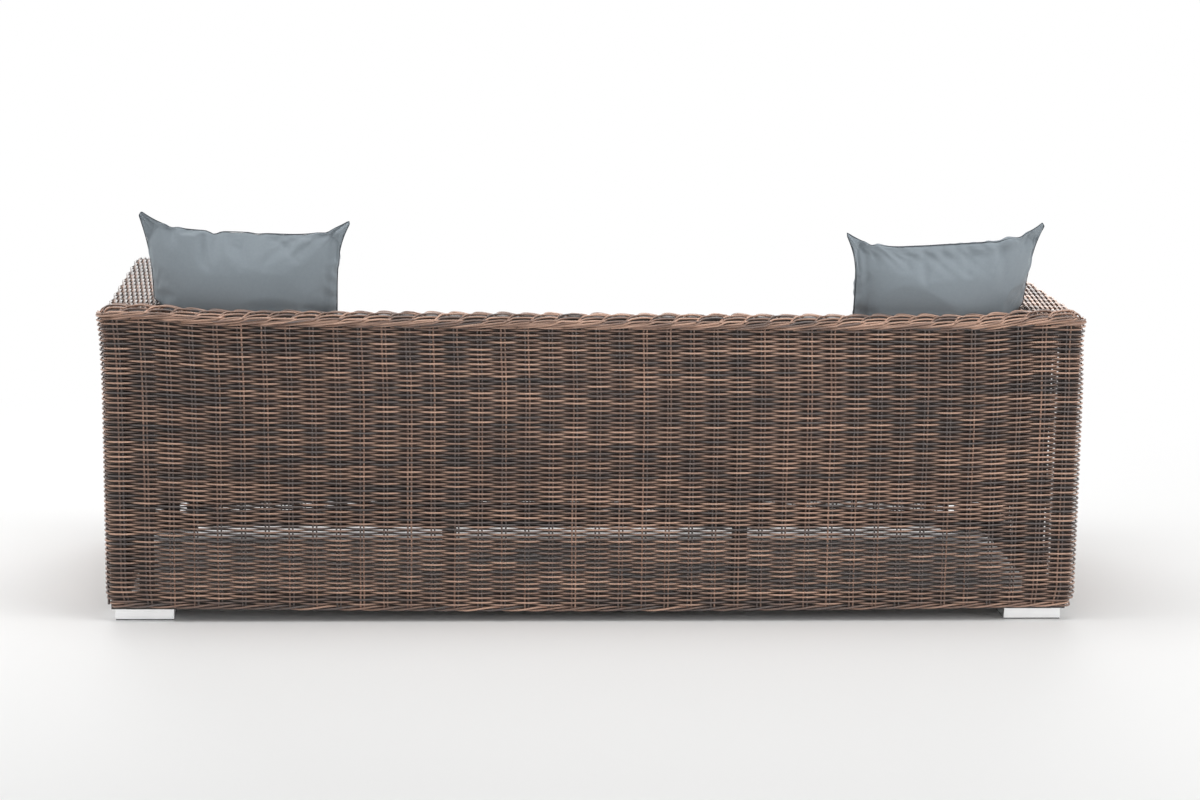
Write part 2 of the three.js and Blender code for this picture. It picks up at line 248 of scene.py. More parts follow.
def strandTree():
    takes = {
        "Geometry": "Geometry",
        "Line": "Object",
        "Pitch": 0.05,  # between stake pairs
        "Period": 2.0,  # in stake pitches
        "Swing": 0.0,
        "Flatness": 0.0,
        "Bias": 0.0,
        "Rise": 0.0,
        "Wander": 0.0,
        "WanderLength": 0.2,
        "Thickness": 0.004,
        "Sides": 6,
        "ToneLength": 0.6,
        "Tone": 0.45,
        "Shade": 0.0,  # how dark the painted shade is where it swings back
        "Seed": 0,
        "Finish": "Material",
    }
    tree, given, out = newTree("strandsAlongLine", "GeometryNodeTree", takes, {"Geometry": "Geometry"})

    def geometry(kind, values, output="Geometry", **settings):
        return addNode(tree, "GeometryNode" + kind, values, **settings).outputs[output]

    def named(label, kind="FLOAT"):
        return geometry("InputNamedAttribute", {"Name": label}, "Attribute", data_type=kind)

    def stored(carrier, label, value):
        values = {"Geometry": carrier, "Name": label, "Value": value}
        return geometry("StoreNamedAttribute", values, data_type="FLOAT", domain="POINT")

    def times(product, *others):
        for other in others:
            product = mathNode("MULTIPLY", product, other)
        return product

    line = geometry("ObjectInfo", {"Object": given["Line"]})
    line = geometry("MeshToCurve", {"Mesh": line}, "Curve")
    laid = geometry("InstanceOnPoints", {"Points": given["Geometry"], "Instance": line}, "Instances")
    laid = geometry("RealizeInstances", {"Geometry": laid})
    along, phase, strand = named("along"), named("phase"), named("strand")
    forward, climb = named("forward", "FLOAT_VECTOR"), named("climb", "FLOAT_VECTOR")
    outward = vectorNode("NORMALIZE", vectorNode("CROSS_PRODUCT", forward, climb))
    span = times(given["Pitch"], given["Period"])
    turn = times(mathNode("ADD", mathNode("DIVIDE", along, span), phase), math.tau)
    wave = mathNode("COSINE", turn)
    cubed = times(mathNode("POWER", wave, 3.0), given["Flatness"])
    wave = mathNode("SUBTRACT", times(wave, mathNode("ADD", given["Flatness"], 1.0)), cubed)
    swing = mathNode("MULTIPLY_ADD", wave, given["Swing"], given["Bias"])
    rise = times(mathNode("SINE", turn), given["Rise"])

    def slowNoise(length, seedStep, apart=5.17):  # apart: from strand to strand
        values = {"X": mathNode("DIVIDE", along, given[length]), "Y": times(strand, apart)}
        values["Z"] = mathNode("MULTIPLY_ADD", given["Seed"], 3.71, seedStep)
        spot = addNode(tree, "CombineXYZ", values).outputs["Vector"]
        return mathNode("SUBTRACT", cloud(spot), 0.5)

    drift = times(slowNoise("WanderLength", 0.0), given["Wander"])
    sway = times(slowNoise("WanderLength", 9.4), given["Wander"])
    swing = mathNode("MULTIPLY_ADD", sway, 0.5, swing)
    climbing = vectorNode("SCALE", climb, Scale=mathNode("ADD", rise, drift))
    moved = vectorNode("ADD", vectorNode("SCALE", outward, Scale=swing), climbing)
    droop = mathNode("SUBTRACT", named("highShift"), named("lowShift"))
    droop = mathNode("MULTIPLY_ADD", droop, named("level"), named("lowShift"))
    aside = times(named("rear"), named("lean"))
    aside = mathNode("MULTIPLY_ADD", named("spread"), named("flare"), aside)
    shaped = addNode(tree, "CombineXYZ", {"X": aside, "Z": droop}).outputs["Vector"]
    moved = vectorNode("ADD", moved, shaped)
    laid = geometry("SetPosition", {"Geometry": laid, "Offset": moved})
    own = times(slowNoise("ToneLength", 4.2), 3.0)
    band = times(slowNoise("ToneLength", 7.7, 0.23), 0.8)
    tone = mathNode("ADD", mathNode("ADD", own, band), given["Tone"], clamp=True)
    # painted shade: a strand's colour is darkened where it swings back behind a stake, in place of the
    # shadow of the rows in front
    paintedShadeShare = smoothRange(wave, -0.75, 0.45, 1.0, 0.0)
    worn = mathNode("SUBTRACT", 1.0, times(paintedShadeShare, given["Shade"]))
    laid = stored(stored(laid, "tone", tone), "worn", worn)
    ring = {"Resolution": given["Sides"], "Radius": times(given["Thickness"], 0.5)}
    ring = geometry("CurvePrimitiveCircle", ring, "Curve")
    swept = geometry("CurveToMesh", {"Curve": laid, "Profile Curve": ring, "Fill Caps": True}, "Mesh")
    swept = geometry("SetShadeSmooth", {"Geometry": swept})
    swept = geometry("SetMaterial", {"Geometry": swept, "Material": given["Finish"]})
    tree.links.new(swept, out["Geometry"])
    return tree


strands = strandTree()
strandInputs = {s.name: s.identifier for s in strands.interface.items_tree if s.in_out == "INPUT"}

weave = {
    "pitch": 0.0506,  # between stake pairs
    "rowPitch": 0.0052,
    "firstRow": 0.0458,
    "inset": 0.006,  # from the face of a panel to its middle
    "bend": 0.011,  # radius of the upright corners, at the middle of the weave
    "edge": 0.011,  # radius of the top edges of the arms
    "stakeApart": 0.0078,
    "stakeBottom": 0.034,
    "bottom": 0.0305,
    "bottomSag": 0.0092,
    "topSag": 0.0045,
    "ear": 0.0105,  # how far the top rises at the rear corners
    "earSpan": (0.79, 0.98),
    "edgeSpan": (0.27, 0.35),  # from the arm's straight top to the back's uneven one
    "swell": 0.0038,  # how far the rear corners stand out
    "cornerSpan": (0.9, 1.03),
    "rearSpan": (0.0, 0.36),
    "flare": 0.0045,  # how much further they lean out at the top
    "flareSpan": (0.60, 0.66),
    "tuck": 0.009,  # how far the lowest rows draw in there
    "tuckSpan": (0.03, 0.06),
    "lean": 0.0047,  # how far the top of the back is drawn to the left side
    "leanSpan": (0.48, 0.66),
    "rack": 0.0052,  # and the bottom to the right side
    "rackTop": 0.84,
    "step": 0.0101,
    "innerStep": 0.0127,
    "stakeStep": 0.04,
}
inset = weave["inset"]
pitch = weave["pitch"]
bend = weave["bend"]
sideX = cadBox[1].x - inset
rearY = cadBox[1].y - inset
frontY = cadBox[0].y + inset
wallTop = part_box("back_top_border")[1].z
topZ = wallTop - inset
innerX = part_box("left_arm_inner_weave")[0].x + inset
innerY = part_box("back_inner_weave")[0].y + inset
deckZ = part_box("seat_deck_weave")[0].z + inset


def lowShift(spot):  # the bottom edge sags between the feet
    return -weave["bottomSag"] * max(0.0, 1 - spot.x**2) ** 0.9


def highShift(spot):  # the top edge sags in the middle and rises to an ear at each rear corner
    sag = weave["topSag"] * max(0.0, 1 - (spot.x / sideX) ** 2)
    ear = weave["ear"] * eased(abs(spot.x), *weave["earSpan"])
    return eased(spot.y, *weave["edgeSpan"]) * (ear - sag)


def rearShare(spot):
    return eased(spot.y, *weave["rearSpan"])


def sideShare(spot):
    return math.copysign(eased(abs(spot.x), *weave["cornerSpan"]) * rearShare(spot), spot.x)


def heightShare(spot):
    return min(1.0, max(0.0, (spot.z - weave["bottom"]) / (wallTop - weave["bottom"])))


def cornerOut(spot):
    out = weave["swell"] + weave["flare"] * eased(spot.z, *weave["flareSpan"])
    return out - weave["tuck"] * (1 - eased(spot.z, *weave["tuckSpan"]))


def leanAt(spot):
    leant = weave["lean"] * eased(spot.z, *weave["leanSpan"])
    return leant - weave["rack"] * (1 - spot.z / weave["rackTop"])


planColumns = {"lowShift": lowShift, "highShift": highShift, "spread": sideShare, "rear": rearShare}
heightColumns = {"level": heightShare, "flare": cornerOut, "lean": leanAt}


def newMesh(name, points, edges=(), faces=()):
    mesh = bpy.data.meshes.new(name)
    mesh.from_pydata(points, edges, faces)
    return mesh


def placed(name, data):
    holder = bpy.data.objects.new(name, data)
    scene.collection.objects.link(holder)
    return holder


def evaluated(piece):
    bpy.context.view_layer.update()
    return piece.evaluated_get(bpy.context.evaluated_depsgraph_get())


def carrier(name, points, edges, shaping, **columns):  # points with the values that strands need
    mesh = newMesh(name, points, edges)
    columns.update({label: [give(spot) for spot in points] for label, give in shaping.items()})
    for label, values in columns.items():
        isVector = not isinstance(values[0], (int, float))
        layer = mesh.attributes.new(label, "FLOAT_VECTOR" if isVector else "FLOAT", "POINT")
        flat = [part for value in values for part in value] if isVector else values
        layer.data.foreach_set("vector" if isVector else "value", flat)
    return placed(name, mesh)


def lineObject(lines, shaping):  # each line: points and how far along the weave each one is
    points, alongs, forwards, edges = [], [], [], []
    for line in lines:
        edges += [(n, n + 1) for n in range(len(points), len(points) + len(line) - 1)]
        spots = [Vector(spot) for spot, _ in line]
        for n, spot in enumerate(spots):
            ahead = spots[min(n + 1, len(spots) - 1)] - spots[max(n - 1, 0)]
            points.append(spot)
            alongs.append(line[n][1])
            forwards.append(ahead.normalized())
    return carrier("line", points, edges, shaping, along=alongs, forward=forwards)


def startObject(starts, shaping):  # each start: place, climb direction, phase
    places, climbs, phases = (list(values) for values in zip(*starts))
    columns = {"climb": climbs, "phase": [float(phase) for phase in phases]}
    columns["strand"] = [float(n) for n in range(len(starts))]
    return carrier("starts", places, [], shaping, **columns)


# The strands of one run: every line is repeated at every start.
# Rows follow the sagging plan along their line, and stakes follow it at their starts.
def strandMesh(lines, starts, values, follows=""):
    holder = startObject(starts, {"rows": heightColumns, "stakes": planColumns}.get(follows, {}))
    line = lineObject(lines, {"rows": planColumns, "stakes": heightColumns}.get(follows, {}))
    modifier = holder.modifiers.new("strands", "NODES")
    modifier.node_group = strands
    for label, value in dict(values, Line=line).items():
        modifier[strandInputs[label]] = value
    mesh = bpy.data.meshes.new_from_object(evaluated(holder))
    for helper in (holder, line):
        data = helper.data
        bpy.data.objects.remove(helper)
        bpy.data.meshes.remove(data)
    return mesh


def strandPiece(name, nodes, *runs, body="frame", slot="rattan"):  # each run: what strandMesh takes
    pieces = [placed(name, strandMesh(*run)) for run in runs]
    first = pieces[0]
    if len(pieces) > 1:
        chosen = {"selected_editable_objects": pieces, "selected_objects": pieces}
        with bpy.context.temp_override(active_object=first, object=first, **chosen):
            bpy.ops.object.join()
    first.data.name = name
    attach(first, body)
    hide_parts(*nodes)
    triangles = sum(len(face.vertices) - 2 for face in first.data.polygons)
    print(f"{name}: {triangles} triangles")
    return first


def roundedPath(corners, radius, bendSteps=4):  # a polyline with rounded corners
    spots = [Vector(corners[0])]
    for before, corner, after in zip(corners, corners[1:], corners[2:]):
        before, corner, after = Vector(before), Vector(corner), Vector(after)
        inward = (before - corner).normalized() * radius
        outgoing = (after - corner).normalized() * radius
        centre = corner + inward + outgoing
        for n in range(bendSteps + 1):
            angle = n / bendSteps * math.pi / 2
            spots.append(centre - outgoing * math.cos(angle) - inward * math.sin(angle))
    spots.append(Vector(corners[-1]))
    return spots


def measured(spots, step, start=0.0):  # points no further apart than step, each with its distance along
    spots = [Vector(spot) for spot in spots]
    line = [(spots[0], start)]
    for a, b in zip(spots, spots[1:]):
        length = (b - a).length
        count = max(1, math.ceil(length / step - 1e-6))
        for n in range(1, count + 1):
            line.append((a.lerp(b, n / count), line[-1][1] + length / count))
    return line


def cutLine(line, start, end):
    kept = []
    for (a, s), (b, t) in zip(line, line[1:]):
        if t <= start or s >= end:
            continue
        if not kept:
            share = max(0.0, (start - s) / (t - s))
            kept.append((a.lerp(b, share), s + (t - s) * share))
        share = min(1.0, (end - s) / (t - s))
        kept.append((a.lerp(b, share), s + (t - s) * share))
    return kept


def spotAt(line, along):  # place and direction on a measured line
    for (a, s), (b, t) in zip(line, line[1:]):
        if s <= along <= t:
            return a.lerp(b, (along - s) / (t - s)), (b - a).normalized()
    return None


def mirrored(line):  # the same line on the other side, running on the same way round
    return [(Vector((-spot.x, spot.y, spot.z)), -along) for spot, along in reversed(line)]


# Half of the plan: from the middle of the back to the right arm, round it, and back on its inner side.
halfPlan = [(0, rearY, 0), (-sideX, rearY, 0), (-sideX, frontY, 0), (-innerX, frontY, 0)]
halfPlan.append((-innerX, innerY, 0))
halfLine = measured(roundedPath(halfPlan, bend), weave["step"])
cornerLoss = bend * (2 - math.pi / 2)
armStart = sideX - bend + bend * math.pi / 2
frontStart = sideX + (rearY - frontY) - cornerLoss - bend
frontEnd = frontStart + bend * math.pi + (sideX - innerX) - 2 * bend
lastOuterPair = math.floor(frontStart / pitch)
firstInnerPair = math.ceil(frontEnd / pitch)
stretch = firstInnerPair * pitch - (frontEnd + frontStart - lastOuterPair * pitch)


def stretched(along):  # the front of an arm is stretched a little, so that its stakes meet both sides'
    share = min(1.0, max(0.0, (along - frontStart) / (frontEnd - frontStart)))
    return along + stretch * share


halfLine = [(spot, stretched(along)) for spot, along in halfLine]
fullLine = mirrored(halfLine)[:-1] + halfLine
frontEnd += stretch
lineEnd = halfLine[-1][1]


def rowsUpTo(height):
    return int((height - weave["firstRow"]) / weave["rowPitch"]) + 1


margins = {  # how far from an edge the rows and stakes end
    "armRows": 0.013,
    "skirtRows": 0.009,
    "backRows": 0.0285,
    "innerRows": 0.030,
    "innerRowsLow": 0.008,
    "stakes": 0.012,
    "innerStakes": 0.01,
    "frontStakes": 0.004,
    "deckStrands": 0.004,
}
armRowCount = rowsUpTo(topZ - margins["armRows"])
skirtRows = rowsUpTo(deckZ - margins["skirtRows"])
strandValues = dict(
    Pitch=pitch, Thickness=0.0042, Sides=6, Wander=0.0013, WanderLength=0.09, Tone=0.45, ToneLength=0.3,
    Finish=rattan, Seed=1,
)
rowValues = dict(strandValues, Swing=0.0044, Flatness=0.16, Bias=0.0007, Shade=0.9)
closeValues = dict(rowValues, Swing=0.0035, Bias=0.0, Thickness=0.0049, Sides=5, Shade=0.7)
stakeValues = dict(
    strandValues, Thickness=0.0040, Sides=5, Wander=0.0035, WanderLength=0.22, Tone=0.14, ToneLength=0.4,
    Seed=5,
)


def rowStarts(first, last, at=Vector((0, 0, 0))):
    heights = [(n, weave["firstRow"] + n * weave["rowPitch"]) for n in range(first, last)]
    return [(at + up * height, up, n / 2) for n, height in heights]


def evenStarts(line, count, sign, first=0):  # rows spread evenly over a measured line
    found = [spotAt(line, line[-1][1] * n / count) for n in range(count + 1)]
    return [(spot, direction * sign, (n + first) / 2) for n, (spot, direction) in enumerate(found)]


def stakeStarts(line, start=-math.inf, end=math.inf):  # two stakes at each pair between two distances
    starts = []
    start, end = max(start, line[0][1] - pitch), min(end, line[-1][1] + pitch)
    for pair in range(math.ceil(start / pitch), math.floor(end / pitch) + 1):
        for side in (-0.5, 0.5):
            found = spotAt(line, pair * pitch + side * weave["stakeApart"])
            if found:
                starts.append((found[0], found[1], 0))
    return starts


def upright(bottom, top):
    return [measured([(0, 0, bottom), (0, 0, top)], weave["stakeStep"])]


backLine = cutLine(fullLine, -armStart, armStart)
backRowCount = rowsUpTo(wallTop - margins["backRows"])
bands = [round(backRowCount * n / 3) for n in range(4)]
for number, (first, last) in enumerate(zip(bands, bands[1:]), 1):
    rows = ([backLine], rowStarts(first, last), dict(rowValues, Seed=number), "rows")
    strandPiece(f"backRows{number}", ["back_outer_weave"], rows)
backStarts = stakeStarts(fullLine, -armStart, armStart)
backStake = upright(weave["stakeBottom"], wallTop - margins["stakes"])
strandPiece("backStakes", ["back_outer_weave"], (backStake, backStarts, stakeValues, "stakes"))

innerLine = measured([(-innerX, innerY, 0), (innerX, innerY, 0)], weave["innerStep"], -innerX)
innerFirst = math.ceil((deckZ + margins["innerRowsLow"] - weave["firstRow"]) / weave["rowPitch"])
innerRows = rowStarts(innerFirst, rowsUpTo(wallTop - margins["innerRows"]))
innerStarts = stakeStarts(innerLine, -innerX, innerX)
innerBottom = deckZ - margins["innerStakes"]
innerStake = upright(innerBottom, wallTop - margins["innerStakes"])
strandPiece(
    "backInnerWeave", ["back_inner_weave"],
    ([innerLine], innerRows, dict(closeValues, Seed=11), "rows"),
    (innerStake, innerStarts, dict(stakeValues, Seed=12), "stakes"),
)

armWeave = {
    "rows": {"Thickness": 0.0051, "Swing": 0.0047, "Bias": 0.0003, "Wander": 0.0007},
    "stakeThickness": 0.0052,
    # painted light: the rows on top of the arms get a lighter tone, standing in for the light falling on
    # them from above
    "topPaintedLightTone": 0.62,
    "overFront": 0.016,  # how far the rows on top run down the front
}


def makeArm(side, sign):
    sideLine = halfLine if sign > 0 else mirrored(halfLine)
    seed = 20 if sign > 0 else 40

    def section(start, end):
        return cutLine(sideLine, *sorted((start * sign, end * sign)))

    def armPiece(part, *runs):
        strandPiece(f"{side}Arm{part}Weave", [f"{side}_arm_{part.lower()}_weave"], *runs)

    values = dict(rowValues, Seed=seed, **armWeave["rows"])
    stakes = dict(stakeValues, Seed=seed + 1)
    outerX, insideX = -sign * sideX, -sign * innerX
    over = [(outerX, 0, weave["stakeBottom"]), (outerX, 0, topZ), (insideX, 0, topZ)]
    over = roundedPath([*over, (insideX, 0, innerBottom)], weave["edge"])
    onTop = [n for n, spot in enumerate(over) if spot.z > topZ - weave["edge"] * 1.01]
    outerStake = measured(over[: onTop[0] + 1], weave["stakeStep"])
    innerStake = measured(over[onTop[-1] :], weave["stakeStep"])
    topPath = over[onTop[0] : onTop[-1] + 1]
    outerSection = section(armStart, frontStart)
    overStarts = [(Vector((0, spot.y, 0)), forward, 0) for spot, forward, _ in stakeStarts(outerSection)]
    armPiece(
        "Outer", ([outerSection], rowStarts(0, armRowCount), values, "rows"),
        ([outerStake], overStarts, dict(stakes, Thickness=armWeave["stakeThickness"])),
    )
    innerSection = section(frontEnd, lineEnd)
    armPiece(
        "Inner", ([innerSection], rowStarts(innerFirst, armRowCount), dict(closeValues, Seed=seed)),
        ([innerStake], overStarts, stakes),
    )
    frontHigh = section(frontStart, frontEnd)
    frontLow = section(frontStart, edgeAlong - 0.0001)
    frontStake = upright(weave["stakeBottom"], topZ - margins["frontStakes"])
    armPiece(
        "Front", ([frontLow], rowStarts(0, skirtRows + 1), values),
        ([frontHigh], rowStarts(skirtRows + 1, armRowCount), values),
        (frontStake, stakeStarts(frontHigh), dict(stakeValues, Seed=seed + 2)),
    )

    # the rows on top run from back to front, over the rounded edges, and down the front a little
    profile = measured(topPath, 0.0005)
    topStarts = evenStarts(profile, round(profile[-1][1] / weave["rowPitch"]), sign, armRowCount)
    rowStart = innerY + margins["deckStrands"]
    rowRun = [(0, rowStart, 0), (0, frontY, 0), (0, frontY, -armWeave["overFront"])]
    startAlong = armStart + (rearY - bend) - rowStart
    rowRun = measured(roundedPath(rowRun, weave["edge"]), weave["step"], startAlong)
    if sign < 0:
        rowRun = mirrored(rowRun)
    # painted light: a lighter tone on the arm tops
    topValues = dict(values, Seed=seed + 3, Tone=armWeave["topPaintedLightTone"])
    armPiece("Top", ([rowRun], topStarts, topValues), ([measured(topPath, 0.01)], overStarts, stakes))


edgeAlong = frontEnd - bend * math.pi / 2
makeArm("right", 1)
makeArm("left", -1)

deck = {
    "skirtEdge": 0.9325,  # from the middle of the sofa to the arms
    "reach": 0.965,
    "edge": 0.006,
    "rowPitch": 0.0062,
    "skirtRows": {"Thickness": 0.0054, "Swing": 0.0033, "Wander": 0.0006},
}
skirtEdge = deck["skirtEdge"]
firstPair = math.ceil(edgeAlong / pitch)
skirtPairs = round((2 * skirtEdge) / pitch - 0.5)
spanPairs = 2 * firstPair - 2 * edgeAlong / pitch + skirtPairs - skirtPairs % 2
skirtPitch = 2 * skirtEdge / spanPairs


def acrossLine(reach):  # runs on from the front of the right arm, across the front
    count = math.ceil(2 * reach / weave["innerStep"])
    xs = [-reach + 2 * reach * n / count for n in range(count + 1)]
    return [(Vector((x, 0, 0)), edgeAlong + (x + skirtEdge) / skirtPitch * pitch) for x in xs]


deckPath = [(0, innerY + margins["deckStrands"], deckZ), (0, frontY, deckZ)]
deckPath = roundedPath([*deckPath, (0, frontY, weave["stakeBottom"])], deck["edge"], 3)
deckPart = measured(deckPath[:5], 0.0005)
deckStarts = evenStarts(deckPart, int(deckPart[-1][1] / deck["rowPitch"]), -1)
acrossStarts = []
for pair in range(firstPair, firstPair + math.ceil(2 * skirtEdge / skirtPitch) + 1):
    x = (pair * pitch - edgeAlong) / pitch * skirtPitch - skirtEdge
    if x < skirtEdge:
        for side in (-0.5, 0.5):
            acrossStarts.append((Vector((x + side * weave["stakeApart"], 0, 0)), Vector((1, 0, 0)), 0))
deckStakes, skirtStakes = (measured(path, weave["stakeStep"]) for path in (deckPath[:5], deckPath[4:]))
strandPiece(
    "seatDeckWeave", ["seat_deck_weave"],
    ([acrossLine(deck["reach"])], deckStarts, dict(closeValues, Seed=61)),
    ([deckStakes], acrossStarts, dict(stakeValues, Seed=62)),
)
skirtStarts = rowStarts(0, skirtRows + 1, Vector((0, frontY, 0)))
strandPiece(
    "frontSkirtWeave", ["front_skirt_weave"],
    ([acrossLine(skirtEdge)], skirtStarts, dict(rowValues, Seed=71, **deck["skirtRows"])),
    ([skirtStakes], acrossStarts, dict(stakeValues, Seed=62)),
)
print("weave made")

border = {
    "tail": 2.2,  # in stake pitches, how long a strand rises along the outer face
    "slope": 0.0062,  # rise of a tail over one stake pitch
    "base": -0.0115,  # height where the highest strand of a tail turns into its arc
    "spacing": 0.0024,  # between the strands of a tail
    "outside": ((0.004, -0.0006, -0.0030), (0.0170, -0.0054, -0.0076), (0.0268, -0.0112, -0.0124)),
    "inside": ((-0.0045, 0.0, -0.003), (-0.0145, -0.001, -0.004), (-0.0235, -0.005, -0.008)),
    "outer": 0.0278,  # from the middle of the border to the tails
    "inner": -0.0251,
    "stagger": 0.0022,  # every second tail lies this much deeper
    "tuck": 0.009,  # how far the end of a tail draws in
    "turn": 0.45,  # where a tail bends into its arc, in stake pitches
    "dip": 0.0065,  # where a strand passes under the next arcs
    "uneven": 0.0011,
    "tailUneven": 0.0015,
    "thickness": 0.0043,
    "cornerRadius": 0.024,
    "middleY": 0.3827,
}
borderTop = wallTop - border["thickness"] / 2
topSpan = sideX - border["cornerRadius"] + 0.002
borderRandom = random.Random(12)


def bell(value, middle, width):
    return math.exp(-(((value - middle) / width) ** 2))


# A strand rises along the outer face, arcs over a stake pair, dives under the next pair's arcs, arcs
# over that one further in, and falls along the inner face. Depth, height of the arc and of its ends.
def borderStrand(pair, member):
    outDepth, outTop, outEnd = border["outside"][member]
    inDepth, inTop, inEnd = border["inside"][member]
    uneven = [borderRandom.uniform(-1, 1) for _ in range(4)]
    jitter = [share * border["uneven"] for share in uneven]
    base = border["base"] - border["spacing"] * member
    outEnd += jitter[1]
    points = []
    for n in range(81):
        t = -border["tail"] - 0.5 + 0.08 * n
        if t < -0.5:
            back = -0.5 - t
            meet = 1 - eased(back, 0, border["turn"])
            tail = base - border["slope"] * back + jitter[3]
            height = tail + (outEnd - tail) * meet
            tuck = border["tuck"] * eased(back, border["tail"] - 0.9, border["tail"])
            depth = border["outer"] - border["stagger"] * (member % 2)
            depth += border["tailUneven"] * uneven[2] - tuck
            depth += (outDepth - depth) * meet
        elif t <= 0.5:
            height = outEnd + (outTop + jitter[0] - outEnd) * math.cos(math.pi * t)
            depth = outDepth
        elif t <= 1.5:
            height = inEnd + (inTop + jitter[2] - inEnd) * math.cos(math.pi * (t - 1))
            height += (outEnd - inEnd) * (1 - eased(t, 0.5, 0.8))
            depth = inDepth
        else:
            over = t - 1.5
            meet = 1 - eased(over, 0, border["turn"])
            tail = base - border["slope"] * over
            height = tail + (inEnd - tail) * meet
            depth = border["inner"] + (inDepth - border["inner"]) * meet
        if 0 < t < 1.2:
            depth = outDepth + (inDepth - outDepth) * eased(t, 0.2, 0.75)
            height -= border["dip"] * bell(t, 0.58, 0.17)
        points.append(((pair + t) * pitch, depth, height))
    return points


# At the rear corners the arcs bend down over the side, and the tails run round the upright corner.
def borderPlace(along, depth, height):
    sign = 1 if along > 0 else -1
    edge = Vector((-sign * min(abs(along), 1.04), 0.4, 0.655))
    radius = border["cornerRadius"]
    over = max(0.0, abs(along) - topSpan)
    angle = min(over / radius, math.pi / 2)
    reach = radius + max(height, -0.014)
    drop = max(0.0, over - radius * math.pi / 2)
    outward, lower = reach * math.sin(angle), 0.010 * math.sin(angle)
    across = Vector((min(abs(along), topSpan) + outward, depth - lower, height))
    across.z += (reach - height) * math.cos(angle) - radius - drop if over else 0.0
    straight = sideX - bend
    turned = max(0.0, abs(along) - straight)
    angle = min(turned / bend, math.pi / 2)
    reach = depth + border["middleY"] - rearY + bend
    around = Vector((min(abs(along), straight) + reach * math.sin(angle), depth, height))
    if turned:
        left = max(0.0, turned - bend * math.pi / 2)
        around.y = rearY - bend + reach * math.cos(angle) - left - border["middleY"]
    spot = around.lerp(across, eased(height, -0.017, -0.011) if depth > 0.001 else 1.0)
    spot.x = -sign * (spot.x + 0.3 * weave["flare"] * eased(over, 0, radius))
    aside = sideShare(edge) * weave["swell"] + leanAt(edge)
    return spot + Vector((aside, border["middleY"], borderTop + highShift(edge)))


def borderKept(along, height):
    return abs(along) < topSpan + (0.038 if height > -0.0135 else 0.052)


borderLines = []
for pair in range(-22, 24):
    for member in range(len(border["outside"])):
        points = [point for point in borderStrand(pair, member) if borderKept(point[0], point[2])]
        if len(points) > 2:
            apart = 3.7 * len(borderLines)  # gives each strand its own tones
            borderLines.append([(borderPlace(*point), point[0] + apart) for point in points])
borderStrands = {"Wander": 0.001, "WanderLength": 0.05, "Tone": 0.62, "ToneLength": 0.12}
borderValues = dict(strandValues, Thickness=border["thickness"], Seed=81, **borderStrands)
atOrigin = [(Vector((0, 0, 0)), up, 0)]
strandPiece("backTopBorder", ["back_top_border"], (borderLines, atOrigin, borderValues))

twistHeight = 0.0372
twist = {"Period": 3.0, "Swing": 0.0042, "Rise": 0.0040, "Thickness": 0.0044, "Wander": 0.001}
twistValues = dict(strandValues, Seed=91, Shade=0.5, **twist)


def twistStarts(y=0.0):
    return [(Vector((0, y, twistHeight)), up, n / 3) for n in range(3)]


twistRuns = {
    "backBottomTwist": (-armStart, armStart),
    "rightArmBottomTwist": (armStart, edgeAlong),
    "leftArmBottomTwist": (-edgeAlong, -armStart),
}
for name, (start, end) in twistRuns.items():
    strandPiece(name, [], ([cutLine(fullLine, start, end)], twistStarts(), twistValues, "rows"))
strandPiece("skirtBottomTwist", [], ([acrossLine(skirtEdge)], twistStarts(frontY), twistValues))
print("borders made")

plainFinishes = {
    ("_rail", "_post", "_link", "_bar"): coatedTube,
    ("_foot",): brushedFoot,
    ("_glide",): glidePlastic,
}
for name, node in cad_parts.items():
    for endings, finish in plainFinishes.items():
        if name.endswith(endings):
            node.data.materials.clear()
            node.data.materials.append(finish)


def sheetPair(cells, rings, spotFor):  # two sheets, sewn at the rim or joined by a wall of rings
    points, faces, shares, ids = [], [], [], {}
    bunch = math.pi / 2 * 0.82  # the cells are narrower towards the rim

    def vertex(i, j, layer):
        shared = rings == 0 and (i in (0, cells) or j in (0, cells))
        key = (i, j, 0 if shared else layer)
        if key not in ids:
            ids[key] = len(points)
            u, v = (math.sin((2 * n / cells - 1) * bunch) / math.sin(bunch) for n in (i, j))
            points.append(spotFor(u, v, layer))
            shares.append((u, v, 0 if shared else 2 * layer - 1))
        return ids[key]

    for i in range(cells):
        for j in range(cells):
            ring = [(i, j), (i + 1, j), (i + 1, j + 1), (i, j + 1)]
            faces.append([vertex(*corner, 1) for corner in ring])
            faces.append([vertex(*corner, 0) for corner in reversed(ring)])
    around = [(n, 0) for n in range(cells)] + [(cells, n) for n in range(cells)]
    around += [(n, cells) for n in range(cells, 0, -1)] + [(0, n) for n in range(cells, 0, -1)]
    for ring in range(rings):
        below, above = ring / rings, (ring + 1) / rings
        for a, b in zip(around, around[1:] + around[:1]):
            faces.append([vertex(*a, below), vertex(*b, below), vertex(*b, above), vertex(*a, above)])
    loops = [[vertex(*corner, layer) for corner in around] for layer in ((0, 1) if rings else (0,))]
    return points, faces, loops, shares


